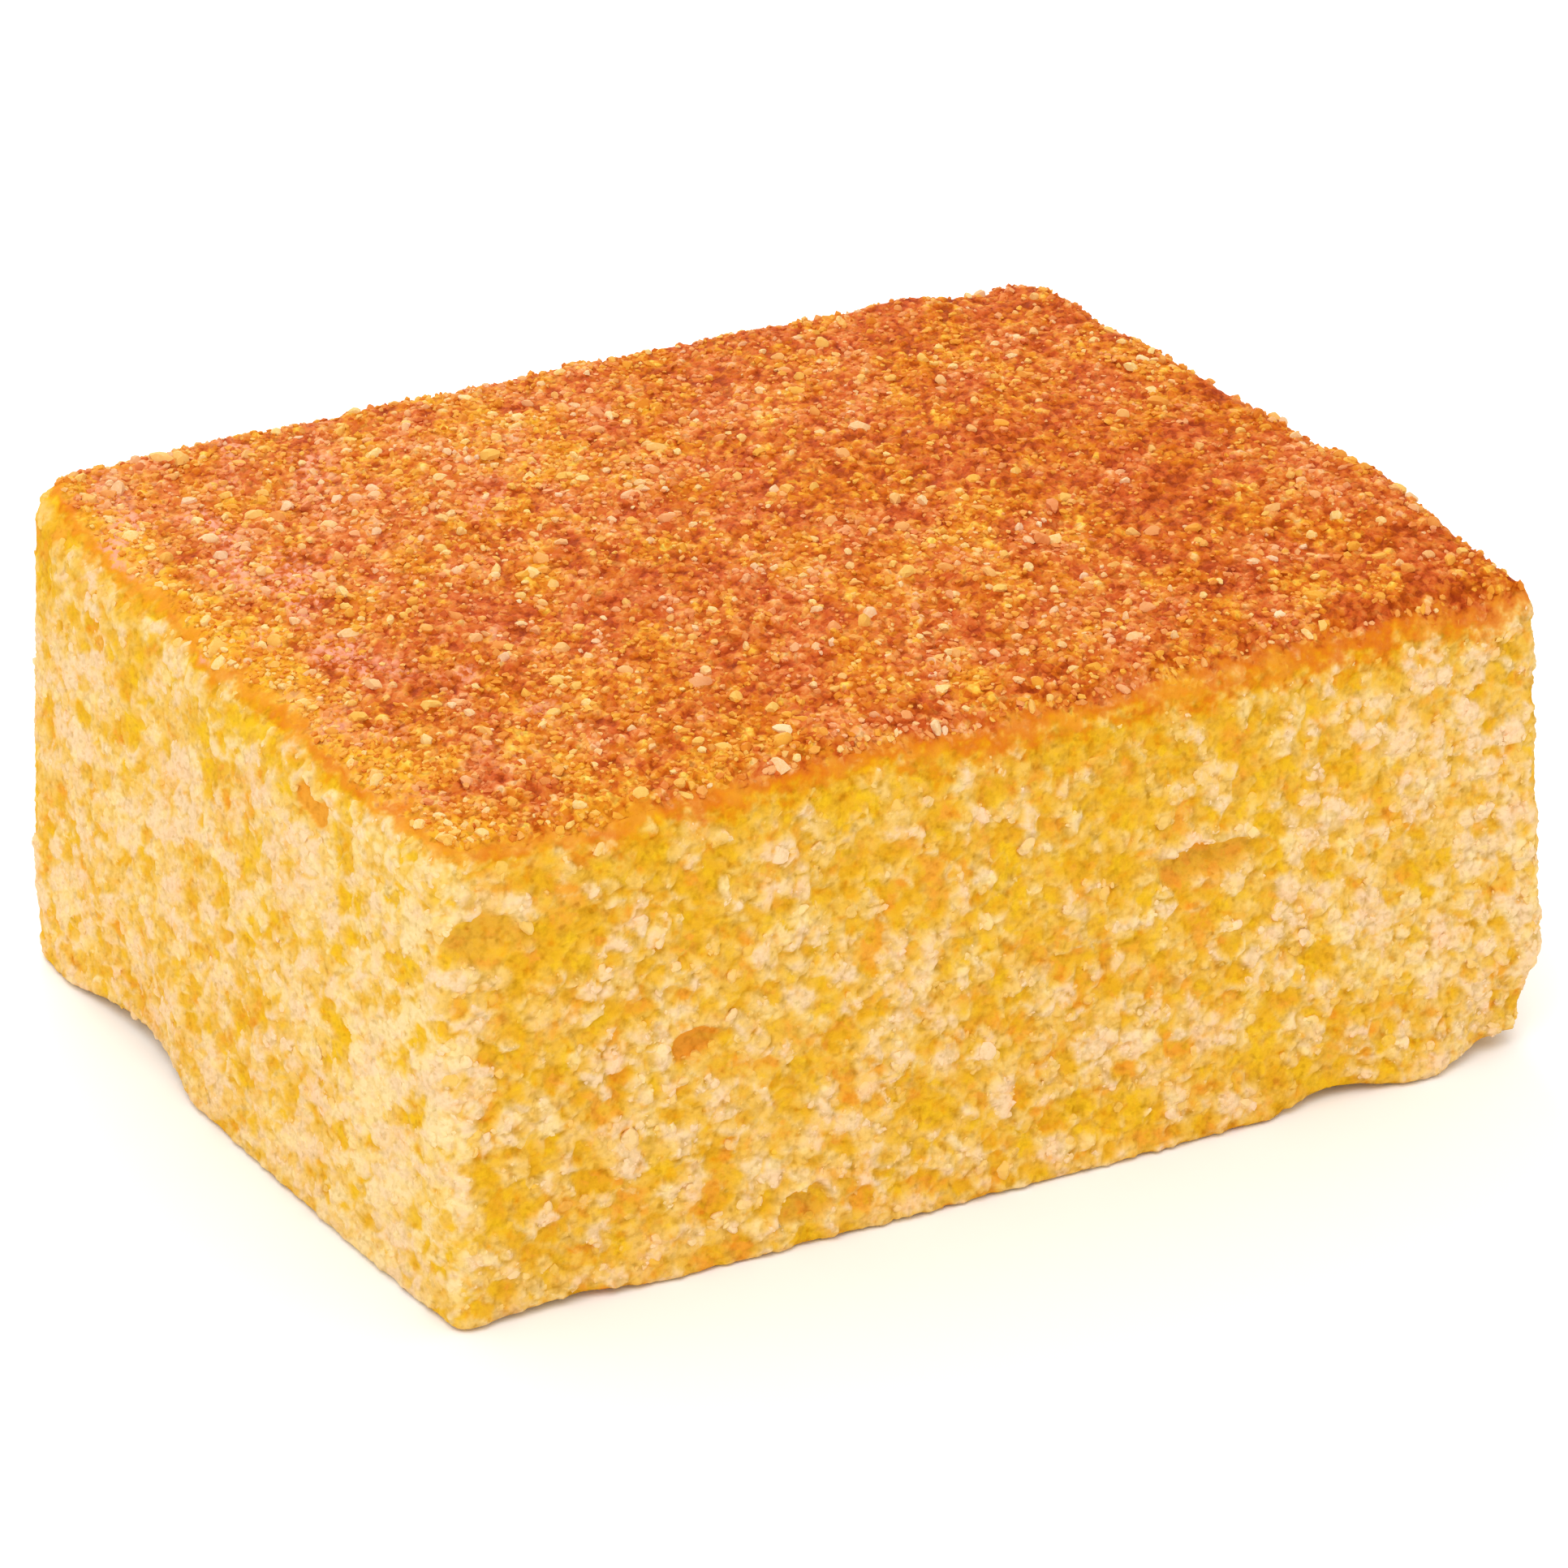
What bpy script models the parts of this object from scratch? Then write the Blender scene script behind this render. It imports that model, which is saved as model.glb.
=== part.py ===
"""Cornbread square: one hand-cut block of baked cornbread, a single closed solid.

Units are metres, +Z is up. The origin is the middle of the flat underside. X runs along the
longer cut face, Y along the shorter one. The block starts as a gridded cube. Each grid point
is then laid on the real form: rounded rim and posts, leaning cut walls, a low baked crown,
broken corners at the foot and the gentle waves that a knife leaves in a soft crumb.
"""

import bmesh
import bpy
import numpy as np

MM = 0.001

# Driving dimensions: a tray bake cut into pieces of about 3 by 2 1/2 inches, 1 1/4 inches high.
WIDTH = 76.0 * MM
DEPTH = 61.6 * MM
HEIGHT = 31.7 * MM

# Cuts of the starting cube along X, Y and Z. The grid is crowded towards the edges.
CUTS = (30, 26, 16)
CROWDING = 0.42

# The crust's rim and the foot are quarter rounds, and so are the four upright posts.
RIM_RADIUS = 2.3 * MM
FOOT_RADIUS = 0.6 * MM
POST_RADII = {
    (-1, -1): 1.2 * MM,
    (1, -1): 1.1 * MM,
    (1, 1): 3.0 * MM,
    (-1, 1): 4.6 * MM,
}

# How far the knife missed the true corners: (x, y) at the foot, then (x, y, z) at the crust.
CORNER_MISS = {
    (-1, -1): ((1.2 * MM, 1.0 * MM), (0.3 * MM, 0.7 * MM, -0.9 * MM)),
    (1, -1): ((0.2 * MM, -0.7 * MM), (-1.5 * MM, 0.7 * MM, 0.5 * MM)),
    (1, 1): ((0.5 * MM, 0.6 * MM), (0.2 * MM, 0.4 * MM, 0.4 * MM)),
    (-1, 1): ((-1.1 * MM, -1.2 * MM), (-0.1 * MM, -1.4 * MM, 0.7 * MM)),
}

# The baked top rises to a low crown, and the long sides swell a little between the posts.
CROWN = 1.1 * MM
SWELL_X = 0.8 * MM
SWELL_Y = 0.25 * MM

# Knife waves in the walls and a slow roll in the crust: (height, length along the face, phase).
WALL_WAVES = ((0.20 * MM, 27.0 * MM, 0.6), (0.14 * MM, 11.5 * MM, 2.1))
CRUST_WAVES = ((0.22 * MM, 31.0 * MM, 1.1), (0.14 * MM, 13.0 * MM, 4.0))

# Broken places: (place, as shares of the half sizes in the plan and of the height, reach, depth).
# A negative depth is a place that swells.
BREAKS = (
    ((0.97, -1.02, 0.0), 7.0 * MM, 1.9 * MM),
    ((-1.00, 0.41, 0.0), 10.0 * MM, 1.6 * MM),
    ((-0.80, -1.00, 0.0), 7.0 * MM, 0.6 * MM),
    ((0.60, -1.02, 0.0), 5.0 * MM, 1.0 * MM),
    ((0.86, 1.00, 1.0), 6.0 * MM, 0.9 * MM),
    ((1.01, 0.66, 1.0), 4.0 * MM, 0.5 * MM),
    ((1.00, -0.45, 1.0), 9.0 * MM, -0.6 * MM),
)

CRUMB_COLOUR = (0.90, 0.62, 0.24, 1.0)
CRUMB_ROUGHNESS = 0.78


def clear_scene():
    """Removes the objects of the startup scene."""
    for obj in list(bpy.data.objects):
        bpy.data.objects.remove(obj, do_unlink=True)


def round_edge(first, second, radius):
    """Rounds a square edge. The inputs are depths in from its two faces. Inside the radius, the
    square around the edge's centre is pressed radially into a circle."""
    u = np.clip(radius - first, 0.0, None)
    v = np.clip(radius - second, 0.0, None)
    squeeze = 1.0 - np.maximum(u, v) / np.maximum(np.hypot(u, v), 1e-12)
    return first + u * squeeze, second + v * squeeze


def crowd(t):
    """Moves evenly spaced values in -1..1 towards the ends, where the block is rounded."""
    return t * (1.0 + CROWDING * (1.0 - t * t))


def round_rims(x, y, z):
    """Rounds the crust's rim and the foot. A point's depth is that of its ring in the plan, and
    a ring that moves inwards takes its points along in proportion."""
    depth = np.minimum(WIDTH / 2 - np.abs(x), DEPTH / 2 - np.abs(y))
    inner, below = round_edge(depth, HEIGHT - z, RIM_RADIUS)
    inner_foot, above = round_edge(depth, z, FOOT_RADIUS)
    moved = np.where(z > HEIGHT / 2, inner, inner_foot)
    x = x * (WIDTH / 2 - moved) / np.maximum(WIDTH / 2 - depth, MM)
    y = y * (DEPTH / 2 - moved) / np.maximum(DEPTH / 2 - depth, MM)
    return x, y, np.where(z > HEIGHT / 2, HEIGHT - below, above)


def round_posts(x, y):
    """Rounds the four upright edges, each to its own radius."""
    depth_x, depth_y = WIDTH / 2 - np.abs(x), DEPTH / 2 - np.abs(y)
    for (side_x, side_y), radius in POST_RADII.items():
        here = (x * side_x > 0) & (y * side_y > 0)
        new_x, new_y = round_edge(depth_x, depth_y, radius)
        x = np.where(here, side_x * (WIDTH / 2 - new_x), x)
        y = np.where(here, side_y * (DEPTH / 2 - new_y), y)
    return x, y


def knife_misses(a, b, c):
    """The corners' errors, shared out over the block: bilinear in the plan, linear in height."""
    offset = np.zeros((len(a), 3))
    for (side_x, side_y), (foot, crust) in CORNER_MISS.items():
        share = (1 + side_x * a) * (1 + side_y * b) / 4
        offset += (share * (1 - c))[:, None] * np.array((*foot, 0.0))
        offset += (share * c)[:, None] * np.array(crust)
    return offset


def waves(waveset, along, across):
    """A sum of sines along one direction, each swelling and fading across the other, where
    across runs over about one unit."""
    total = np.zeros_like(along)
    for height, length, phase in waveset:
        swell = np.cos((2.6 + phase) * across + phase)
        total += height * swell * np.sin(2 * np.pi * along / length + phase)
    return total


def lay_on_form(cube):
    """Maps points of a cube's surface, in -1..1, to the block's surface in metres."""
    a, b, c = (crowd(cube[:, i]) for i in range(3))
    x, y, z = round_rims(a * WIDTH / 2, b * DEPTH / 2, (c + 1) * HEIGHT / 2)
    x, y = round_posts(x, y)
    a, b, c = x / (WIDTH / 2), y / (DEPTH / 2), z / HEIGHT
    point = np.stack([x, y, z], axis=1) + knife_misses(a, b, c)
    held = np.clip(c * 4, 0, 1)  # the foot stays put, so that the underside stays flat
    point[:, 0] += a**3 * (SWELL_X * (1 - b * b) + held * waves(WALL_WAVES, y, c))
    point[:, 1] += b**3 * (SWELL_Y * (1 - a * a) + held * waves(WALL_WAVES, x, 1 - c))
    point[:, 2] += c**3 * (CROWN * (1 - a * a) * (1 - b * b) + waves(CRUST_WAVES, x, b))
    return point


def break_corners(point):
    """Presses the broken places in, away from the walls and from the floor or the crust. The
    push fades to nothing at the break's reach."""
    for (a, b, c), reach, depth in BREAKS:
        centre = np.array((a * WIDTH / 2, b * DEPTH / 2, c * HEIGHT))
        inwards = np.array((-a, -b, 1 - 2 * c)) / np.linalg.norm((a, b, 1 - 2 * c))
        near = np.linalg.norm(point - centre, axis=1) / reach
        point = point + (depth * np.clip(1 - near**2, 0, 1) ** 1.5)[:, None] * inwards
    return point


def centre_on_base(point):
    """Puts the middle of the block's box over the origin, with its underside at z = 0."""
    low, high = point.min(axis=0), point.max(axis=0)
    return point - np.array(((low[0] + high[0]) / 2, (low[1] + high[1]) / 2, low[2]))


def gridded_cube(mesh):
    """Fills a mesh with a cube of side 2, cut into a grid of quads along each axis."""
    bm = bmesh.new()
    bmesh.ops.create_cube(bm, size=2.0)
    for axis, cuts in enumerate(CUTS):
        along = [
            edge
            for edge in bm.edges
            if abs(edge.verts[0].co[axis] - edge.verts[1].co[axis]) > 1.0
        ]
        bmesh.ops.subdivide_edges(bm, edges=along, cuts=cuts - 1, use_grid_fill=True)
    bm.to_mesh(mesh)
    bm.free()


def baked_material():
    """Pale golden crumb, matt and slightly moist."""
    material = bpy.data.materials.new("baked_cornbread")
    material.use_nodes = True
    shader = material.node_tree.nodes["Principled BSDF"]
    shader.inputs["Base Color"].default_value = CRUMB_COLOUR
    shader.inputs["Roughness"].default_value = CRUMB_ROUGHNESS
    shader.inputs["Metallic"].default_value = 0.0
    return material


def make_cornbread(collection):
    """The block itself: crust and crumb are one piece of food, so they are one solid."""
    mesh = bpy.data.meshes.new("cornbread")
    gridded_cube(mesh)
    cube = np.empty(len(mesh.vertices) * 3, dtype=np.float32)
    mesh.vertices.foreach_get("co", cube)
    point = centre_on_base(break_corners(lay_on_form(cube.reshape(-1, 3).astype(float))))
    mesh.vertices.foreach_set("co", point.astype(np.float32).ravel())
    mesh.update()
    mesh.shade_smooth()
    mesh.materials.append(baked_material())
    block = bpy.data.objects.new("cornbread", mesh)
    collection.objects.link(block)
    return block


def main():
    clear_scene()
    collection = bpy.data.collections.new("cornbread_square")
    bpy.context.scene.collection.children.link(collection)
    make_cornbread(collection)


main()
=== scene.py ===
"""Cornbread square: the finished look of one hand-cut block of baked cornbread.

The block is made as seven closed slabs: four cut faces, the crust in two halves and the
underside. The outer side of a slab is a surface of two parameters: a grid on one face of a cube,
laid on the form of the block and then raised or sunk by the relief of the crumb or of the crust.
Loose crumbs on the cut faces and cornmeal on the crust are small angular solids.
Units are metres and +Z is up.
"""
import math
from itertools import product

import bmesh
import bpy
import numpy as np
from bpy.props import FloatProperty, FloatVectorProperty, IntProperty, PointerProperty
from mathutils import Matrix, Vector


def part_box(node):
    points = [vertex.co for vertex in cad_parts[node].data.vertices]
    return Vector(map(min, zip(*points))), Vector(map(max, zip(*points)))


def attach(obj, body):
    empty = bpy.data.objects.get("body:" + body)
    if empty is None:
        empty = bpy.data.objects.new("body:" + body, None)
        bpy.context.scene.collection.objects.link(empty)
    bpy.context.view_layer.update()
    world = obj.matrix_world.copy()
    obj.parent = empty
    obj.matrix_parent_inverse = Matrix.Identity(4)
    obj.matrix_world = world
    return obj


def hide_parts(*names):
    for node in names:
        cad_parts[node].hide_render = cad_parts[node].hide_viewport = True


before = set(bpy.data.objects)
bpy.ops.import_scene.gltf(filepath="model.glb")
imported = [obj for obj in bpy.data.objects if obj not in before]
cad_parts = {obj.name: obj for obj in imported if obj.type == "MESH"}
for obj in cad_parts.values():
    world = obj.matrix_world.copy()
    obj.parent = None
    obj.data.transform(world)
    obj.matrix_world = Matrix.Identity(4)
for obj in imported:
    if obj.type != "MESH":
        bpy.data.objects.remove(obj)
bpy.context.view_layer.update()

bl_info = {
    "name": "Cornbread Square",
    "version": (1, 0, 0),
    "blender": (4, 5, 0),
    "location": "3D View > Sidebar > Cornbread",
    "description": "Builds a cut square of baked cornbread with its crust, crumb and cornmeal",
    "category": "Add Mesh",
}

NODE = "cornbread"
BODY = "root"
UV_MAP = "OFBake"
MM = 0.001

CAD_LOW, CAD_HIGH = (np.array(corner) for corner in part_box(NODE))

# The form of the block, before it is fitted to the frame's box.
WIDTH = 76.0 * MM
DEPTH = 61.6 * MM
HEIGHT = 31.7 * MM
HALF = np.array((WIDTH, DEPTH, HEIGHT)) / 2
RIM_RADIUS = 2.3 * MM
FOOT_RADIUS = 0.6 * MM
CROWN = 1.1 * MM
SWELL_X = 0.8 * MM
SWELL_Y = 0.25 * MM
# Lengths in the tables from here to BAKED_BANDS are in millimetres.
POST_RADII = {(-1, -1): 1.2, (1, -1): 1.1, (1, 1): 3.0, (-1, 1): 4.6}
# How far the knife missed the true corners: (x, y) at the foot, then (x, y, z) at the crust.
CORNER_MISS = {
    (-1, -1): ((1.2, 1.0), (0.3, 0.7, -0.9)),
    (1, -1): ((0.2, -0.7), (-1.5, 0.7, 0.5)),
    (1, 1): ((0.5, 0.6), (0.2, 0.4, 0.4)),
    (-1, 1): ((-1.1, -1.2), (-0.1, -1.4, 0.7)),
}
# (height, length along the face, phase)
WALL_WAVES = ((0.20, 27.0, 0.6), (0.14, 11.5, 2.1))
CRUST_WAVES = ((0.22, 31.0, 1.1), (0.14, 13.0, 4.0))
# Broken places: (place, as shares of the half sizes in the plan and of the height, reach, depth).
# A negative depth is a place that swells.
BREAKS = (
    ((0.97, -1.02, 0.0), 7.0, 1.9),
    ((-1.00, 0.41, 0.0), 10.0, 1.6),
    ((-0.80, -1.00, 0.0), 7.0, 0.6),
    ((0.60, -1.02, 0.0), 5.0, 1.0),
    ((0.86, 1.00, 1.0), 6.0, 0.9),
    ((1.01, 0.66, 1.0), 4.0, 0.5),
    ((1.00, -0.45, 1.0), 9.0, -0.6),
)

# Torn hollows in the cut faces: (place, half width along X and Y, half height, depth, warmth).
HOLLOWS = (
    ((-35.0, -30.8, 25.0), 3.2, 1.8, 0.9, 0.55),
    ((-21.2, -30.8, 15.2), 1.9, 1.5, 0.9, 0.90),
    ((-14.3, -30.8, 2.9), 1.9, 1.2, 0.8, 0.50),
    ((12.8, -30.8, 18.9), 3.4, 1.4, 1.0, 0.65),
    ((-38.5, -15.4, 28.2), 2.0, 1.1, 0.35, 0.95),
)

# Where the crust's colour starts and ends on its way over the rim and down each cut face:
# (outward X, outward Y): (start, end), from where the crust begins to bend down.
BAKED_BANDS = {(-1, 0): (-0.5, 3.9), (1, 0): (0.8, 5.5), (0, -1): (0.7, 6.5), (0, 1): (0.8, 5.5)}

# Faces of the cube: (name, axis that points out, its sign).
CUT_FACES = (
    ("cut_face_long_near", 1, -1),
    ("cut_face_long_far", 1, 1),
    ("cut_face_short_near", 0, -1),
    ("cut_face_short_far", 0, 1),
)

# Lumps, grains and patches of colour are drawn out along this line. It is the stage camera's
# line of sight: they look less squashed from there, and the end faces look streaked from
# elsewhere.
FLOW = np.array((0.44, 0.79, -0.43))
FLOW /= np.linalg.norm(FLOW)
DRAWN_OUT = 2.0

# The closed slabs: how thick they are, and the mesh cell of the one that nobody sees.
SLAB_THICKNESS = 3.0 * MM
UNDERSIDE_CELL = 0.6 * MM
# Edges sharper than this stay sharp, on the slabs and on the loose solids.
SLAB_SHARP = math.radians(75)
PEBBLE_SHARP = math.radians(28)
# A slab's map: how much of its width the sides fill, and the columns of the two end caps.
MAP_SIDES = 0.98
MAP_CAPS = (0.985, 0.995)

BUMP_STRENGTH = 0.6
# What a colour is multiplied by: painted shade in the crumb's gaps, the band just under the
# crust, and on the crust where it leans to gold, where it leans to pink, and painted shade in
# its creases.
GAP_SHADE_TINT = (0.62, 0.54, 0.28)
UNDER_CRUST_TINT = (0.94, 0.71, 0.26)
GOLD_TINT = (1.04, 1.18, 0.55)
PINK_TINT = (1.01, 0.91, 1.35)
CREASE_SHADE_TINT = (0.62, 0.50, 0.40)


def swatch(red, green, blue):
    """Scene-linear colour of a display colour given as three numbers from 0 to 255."""
    shown = np.array((red, green, blue)) / 255
    linear = np.where(shown <= 0.04045, shown / 12.92, ((shown + 0.055) / 1.055) ** 2.4)
    return tuple(float(value) for value in linear)


def length(name, description, millimetres):
    """A size property, given in millimetres and kept in metres."""
    return FloatProperty(
        name=name, description=description, default=millimetres * MM, subtype="DISTANCE",
        unit="LENGTH", precision=5,
    )


def colour(name, description, *display):
    """A colour property, given as a display colour."""
    return FloatVectorProperty(
        name=name, description=description, default=swatch(*display), size=3, subtype="COLOR",
        min=0.0, max=1.0,
    )


class CrumbLook(bpy.types.PropertyGroup):
    """Sizes and colours of the open crumb on the cut faces."""

    cell: length("Mesh cell", "Spacing of the mesh on a cut face", 0.165)
    lump: length("Lump", "Width of the larger lumps of crumb", 1.9)
    flake: length("Flake", "Width of the flakes that the lumps are made of", 1.2)
    granule: length("Granule", "Width of the smallest granules", 0.55)
    relief: length("Relief", "Height from the golden hollows to the pale lumps", 0.55)
    pale: colour("Pale", "Raised, dry crumb", 240, 206, 160)
    cream: colour("Cream", "Ordinary crumb", 236, 193, 107)
    yellow: colour("Yellow", "Moist crumb between the lumps", 232, 182, 74)
    golden: colour("Golden", "Smooth walls of the hollows", 229, 173, 46)
    amber: colour("Amber", "Deepest hollows", 225, 166, 33)


class CrustLook(bpy.types.PropertyGroup):
    """Sizes and colours of the browned top."""

    cell: length("Mesh cell", "Spacing of the mesh on the crust", 0.17)
    grain: length("Grain", "Width of the smaller grains baked into the crust", 0.5)
    relief: length("Relief", "Height of the larger grains baked into the crust", 0.28)
    # The level that picks these colours carries painted highlight on the grains' tops and painted
    # shade between them, as well as the crust's own browning.
    dark: colour("Dark", "Creases between the grains", 160, 62, 15)
    red_brown: colour("Red brown", "Low places", 195, 88, 26)
    burnt: colour("Burnt orange", "Most of the crust", 210, 117, 43)
    glowing: colour("Glowing", "Raised places", 229, 158, 75)
    bright: colour("Bright", "Tops of the grains", 234, 192, 124)
    golden: colour("Golden", "Least browned places", 228, 154, 40)
    # This colour is a painted sheen: a paler, pinker haze that stands in for light reflected off
    # the left end of the crust.
    painted_sheen: colour("Bloom", "Dusty haze at the left end of the crust", 233, 160, 136)


class GritLook(bpy.types.PropertyGroup):
    """Counts and sizes of the loose solids."""

    meal_count: IntProperty(name="Meal", description="Fine grains on the crust", default=10000)
    grit_count: IntProperty(name="Grit", description="Coarse grains on the crust", default=1150)
    crumb_count: IntProperty(name="Crumbs", description="Crumbs on the cut faces", default=9000)
    lump_count: IntProperty(name="Lumps", description="Lumps on the cut faces", default=2000)
    meal_size: length("Meal size", "Mean width of a fine grain", 0.42)
    grit_size: length("Grit size", "Mean width of a coarse grain", 0.66)
    crumb_size: length("Crumb size", "Mean width of a fine crumb", 0.42)
    lump_size: length("Lump size", "Mean width of a lump", 0.8)


class StageLook(bpy.types.PropertyGroup):
    """Floor, light and camera."""

    azimuth: FloatProperty(
        name="Azimuth", description="Camera's turn about the block", subtype="ANGLE",
        default=math.radians(-29.33),
    )
    elevation: FloatProperty(
        name="Elevation", description="Camera's height over the floor", subtype="ANGLE",
        default=math.radians(25.31),
    )
    distance: length("Distance", "From the camera to the point that it looks at", 366.46)
    lens: FloatProperty(
        name="Lens", description="Focal length", default=133.4, unit="CAMERA",
        subtype="DISTANCE_CAMERA",
    )
    sky: FloatProperty(name="Sky", description="Strength of the even white light", default=0.87)
    floor: colour("Floor", "Plain pale floor", 254, 254, 254)


class CornbreadSettings(bpy.types.PropertyGroup):
    """All settings of the cornbread square."""

    crumb: PointerProperty(type=CrumbLook)
    crust: PointerProperty(type=CrustLook)
    grit: PointerProperty(type=GritLook)
    stage: PointerProperty(type=StageLook)


# ---- patterns in space


def shuffled(cell, salt):
    """A repeatable number from 0 to 1 for each cell of space.

    The cell's three whole numbers are multiplied by large odd numbers and added, and the sum's
    high bits are mixed into its low bits three times.
    """
    mixed = cell[..., 0] * 73856093 + cell[..., 1] * 19349663 + cell[..., 2] * 83492791
    mixed = mixed + salt * 40503121
    mixed = (mixed ^ (mixed >> 15)) * 2246822519 & 0xFFFFFFFF
    mixed = (mixed ^ (mixed >> 13)) * 3266489917 & 0xFFFFFFFF
    return (mixed ^ (mixed >> 16)).astype(float) / 2**32


def clouds(place, size, salt):
    """Smooth noise from about -1 to 1.

    Each corner of a cell of space holds a random slope. A point's value is the sum over its
    cell's eight corners of slope times offset, faded from corner to corner.
    """
    scaled = place / size
    home = np.floor(scaled).astype(np.int64)
    inside = scaled - home
    ease = inside**3 * (inside * (inside * 6 - 15) + 10)
    total = np.zeros(len(place))
    for corner in product((0, 1), repeat=3):
        slope = np.stack([shuffled(home + corner, salt * 3 + k) - 0.5 for k in range(3)], -1)
        weight = np.prod(np.where(corner, ease, 1 - ease), axis=-1)
        total += weight * ((inside - corner) * slope).sum(-1)
    return total * 2.6


def cells(place, size, salt):
    """Distance to the nearest and to the second nearest seed, and the nearest seed's number.

    Each cell of space holds one seed at a random place, and the 27 cells round a point are
    searched. Distances are in cell widths, and the number is from 0 to 1.
    """
    scaled = place / size
    home = np.floor(scaled).astype(np.int64)
    near = np.full(len(place), 9.0)
    second = near.copy()
    number = np.zeros(len(place))
    for step in product((-1, 0, 1), repeat=3):
        cell = home + step
        seed = np.stack([shuffled(cell, salt * 5 + k) for k in range(3)], -1)
        away = np.linalg.norm(cell + seed - scaled, axis=-1)
        closer = away < near
        number = np.where(closer, shuffled(cell, salt * 5 + 3), number)
        second = np.where(closer, near, np.minimum(second, away))
        near = np.minimum(near, away)
    return near, second, number


def ramp(low, high, value):
    """0 below low, 1 above high, and an S-shaped rise between them."""
    share = np.clip((value - low) / (high - low), 0, 1)
    return share * share * (3 - 2 * share)


def drawn_out(place):
    """Places squeezed along the flow, so that noises of them are drawn out along it."""
    return place - (1 - 1 / DRAWN_OUT) * (place @ FLOW)[:, None] * FLOW


def stirred(place, reach, size, salt):
    """Places moved by up to about reach along three noises of this size."""
    return place + reach * np.stack([clouds(place, size, salt + k) for k in range(3)], -1)


# ---- form of the block


def round_edge(first, second, radius):
    """Bends the square edge between two faces into a quarter round.

    first and second are distances inwards from the two faces. Within one radius of both, the
    pair is pulled towards the centre of the round until it lies on the arc.
    """
    u = np.clip(radius - first, 0.0, None)
    v = np.clip(radius - second, 0.0, None)
    squeeze = 1.0 - np.maximum(u, v) / np.maximum(np.hypot(u, v), 1e-12)
    return first + u * squeeze, second + v * squeeze


def round_rims(x, y, z):
    """Rounds the edge of the crust and the edge of the foot, all the way round."""
    depth = np.minimum(WIDTH / 2 - np.abs(x), DEPTH / 2 - np.abs(y))
    inner, below = round_edge(depth, HEIGHT - z, RIM_RADIUS)
    inner_foot, above = round_edge(depth, z, FOOT_RADIUS)
    moved = np.where(z > HEIGHT / 2, inner, inner_foot)
    x = x * (WIDTH / 2 - moved) / np.maximum(WIDTH / 2 - depth, MM)
    y = y * (DEPTH / 2 - moved) / np.maximum(DEPTH / 2 - depth, MM)
    return x, y, np.where(z > HEIGHT / 2, HEIGHT - below, above)


def round_posts(x, y):
    """Rounds the four upright edges, each with its own radius."""
    depth_x, depth_y = WIDTH / 2 - np.abs(x), DEPTH / 2 - np.abs(y)
    for (side_x, side_y), radius in POST_RADII.items():
        here = (x * side_x > 0) & (y * side_y > 0)
        new_x, new_y = round_edge(depth_x, depth_y, radius * MM)
        x = np.where(here, side_x * (WIDTH / 2 - new_x), x)
        y = np.where(here, side_y * (DEPTH / 2 - new_y), y)
    return x, y


def knife_misses(a, b, c):
    """Moves each corner by its miss, and points between corners by a bilinear share of it."""
    offset = np.zeros((len(a), 3))
    for (side_x, side_y), (foot, crust) in CORNER_MISS.items():
        share = (1 + side_x * a) * (1 + side_y * b) / 4
        offset += (share * (1 - c))[:, None] * (np.array((*foot, 0.0)) * MM)
        offset += (share * c)[:, None] * (np.array(crust) * MM)
    return offset


def waves(waveset, along, across):
    """Sum of sines along a face, each swelling and fading by a cosine across it."""
    total = np.zeros_like(along)
    for height, wavelength, phase in waveset:
        swell = np.cos((2.6 + phase) * across + phase)
        total += height * MM * swell * np.sin(2 * np.pi * along / (wavelength * MM) + phase)
    return total


def break_corners(point):
    """Pushes the surface in at the broken places, by a cap that fades over each one's reach."""
    for (a, b, c), reach, depth in BREAKS:
        centre = np.array((a * WIDTH / 2, b * DEPTH / 2, c * HEIGHT))
        inwards = np.array((-a, -b, 1 - 2 * c)) / np.linalg.norm((a, b, 1 - 2 * c))
        near = np.linalg.norm(point - centre, axis=1) / (reach * MM)
        point = point + (depth * MM * np.clip(1 - near**2, 0, 1) ** 1.5)[:, None] * inwards
    return point


def raw_form(cube):
    """Points of a cube, each coordinate from -1 to 1, laid on the block.

    The rims and posts are rounded and the corners moved. Then the walls and the crust are
    raised by a parabola each way and by their waves, and the broken places are pushed in.
    """
    x, y, z = round_rims(*(cube * HALF + (0, 0, HEIGHT / 2)).T)
    x, y = round_posts(x, y)
    a, b, c = x / (WIDTH / 2), y / (DEPTH / 2), z / HEIGHT
    point = np.stack([x, y, z], axis=1) + knife_misses(a, b, c)
    held = np.clip(c * 4, 0, 1)
    point[:, 0] += a**3 * (SWELL_X * (1 - b * b) + held * waves(WALL_WAVES, y, c))
    point[:, 1] += b**3 * (SWELL_Y * (1 - a * a) + held * waves(WALL_WAVES, x, 1 - c))
    point[:, 2] += c**3 * (CROWN * (1 - a * a) * (1 - b * b) + waves(CRUST_WAVES, x, b))
    return break_corners(point)


def form_box(steps=90):
    """Lowest and highest corner of the raw form, from an even grid on all six cube faces."""
    line = np.linspace(-1, 1, steps)
    u, v = (grid.ravel() for grid in np.meshgrid(line, line))
    faces = [
        np.roll(np.stack([np.full_like(u, side), u, v], -1), turn, axis=1)
        for side in (-1, 1)
        for turn in range(3)
    ]
    point = raw_form(np.concatenate(faces))
    return point.min(axis=0), point.max(axis=0)


FORM_LOW, FORM_HIGH = form_box()


def block_form(cube):
    """The raw form, fitted to the box that the frame's node fills."""
    share = (raw_form(cube) - FORM_LOW) / (FORM_HIGH - FORM_LOW)
    return CAD_LOW + share * (CAD_HIGH - CAD_LOW)


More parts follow.
